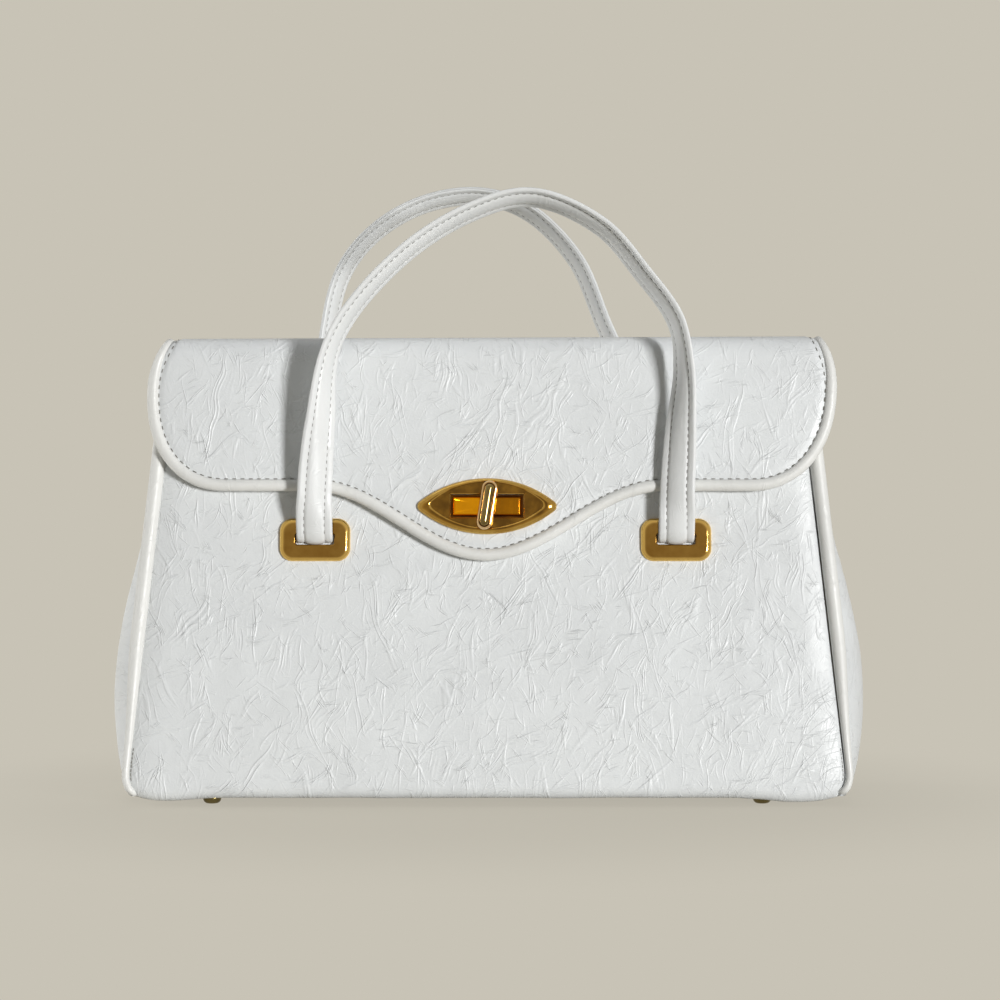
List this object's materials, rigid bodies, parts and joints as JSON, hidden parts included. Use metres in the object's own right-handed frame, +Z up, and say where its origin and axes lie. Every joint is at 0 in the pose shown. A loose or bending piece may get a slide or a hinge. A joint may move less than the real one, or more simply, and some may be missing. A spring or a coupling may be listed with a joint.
{
  "type": "top handle bag",
  "caption": "Structured A-shaped top handle bag with a rolled-edge flap, turn lock, strap handles and small metal feet.",
  "frame": {"origin": "on the floor under the middle of the bag, at the flats of its feet", "axes": "+Z up, the front with the lock faces -Y, +X to the right seen from the front"},
  "size_m": [0.327, 0.1072, 0.2722],
  "materials": {
    "vinyl": "crinkled satin vinyl",
    "trim": "smooth satin vinyl",
    "lining": "plain woven lining",
    "board": "pressed fibre board",
    "gold": "polished gold plate",
    "dark_brass": "aged brass",
    "steel": "pressed steel"
  },
  "bodies": {
    "bag_body": {"front_panel": "vinyl", "back_panel": "vinyl", "base_panel": "vinyl", "base_board": "board", "gusset_left": "vinyl", "gusset_right": "vinyl", "lining_front": "lining", "lining_back": "lining", "lining_left": "lining", "lining_right": "lining", "lining_floor": "lining", "mouth_binding_front": "trim", "mouth_binding_back": "trim", "flap_fold": "vinyl", "lock_keeper": "gold", "lock_keeper_backing": "steel", "side_welt_front_left": "trim", "side_welt_front_right": "trim", "side_welt_back_left": "trim", "side_welt_back_right": "trim", "handle_plate_front_left": "gold", "handle_plate_front_right": "gold", "handle_plate_back_left": "gold", "handle_plate_back_right": "gold", "plate_backing_front_left": "steel", "plate_backing_front_right": "steel", "plate_backing_back_left": "steel", "plate_backing_back_right": "steel", "strap_end_front_left": "trim", "strap_end_front_right": "trim", "strap_end_back_left": "trim", "strap_end_back_right": "trim", "foot_front_left": "dark_brass", "foot_front_right": "dark_brass", "foot_back_left": "dark_brass", "foot_back_right": "dark_brass", "foot_washer_front_left": "steel", "foot_washer_front_right": "steel", "foot_washer_back_left": "steel", "foot_washer_back_right": "steel"},
    "flap": {"flap_cover": "vinyl", "flap_lining": "lining", "flap_rolled_edge": "trim", "lock_plate": "gold", "lock_boss": "gold"},
    "lock_knob": {"lock_knob": "gold", "lock_retainer": "steel"},
    "front_handle": {"front_handle_face": "vinyl", "front_handle_backing": "vinyl"},
    "back_handle": {"back_handle_face": "vinyl", "back_handle_backing": "vinyl"}
  },
  "joints": [
    {"name": "flap_lift", "type": "hinge", "parent": "bag_body", "child": "flap", "pos_m": [0, 0.02445, 0.19615], "axis": [-1, 0, 0], "range_deg": [0, 95]},
    {"name": "front_handle_swing", "type": "hinge", "parent": "bag_body", "child": "front_handle", "pos_m": [0, -0.04107, 0.11262], "axis": [1, 0, 0], "range_deg": [0, 123.5]},
    {"name": "back_handle_swing", "type": "hinge", "parent": "bag_body", "child": "back_handle", "pos_m": [0, 0.04107, 0.11262], "axis": [-1, 0, 0], "range_deg": [0, 123.5]},
    {"name": "knob_turn", "type": "hinge", "parent": "flap", "child": "lock_knob", "pos_m": [0, -0.03993, 0.1263], "axis": [0, -0.9919, 0.1266], "range_deg": [-81, 9]}
  ],
  "couplings": [
    {"joint": "front_handle_swing", "follows": "flap_lift", "ratio": 1.3}
  ]
}
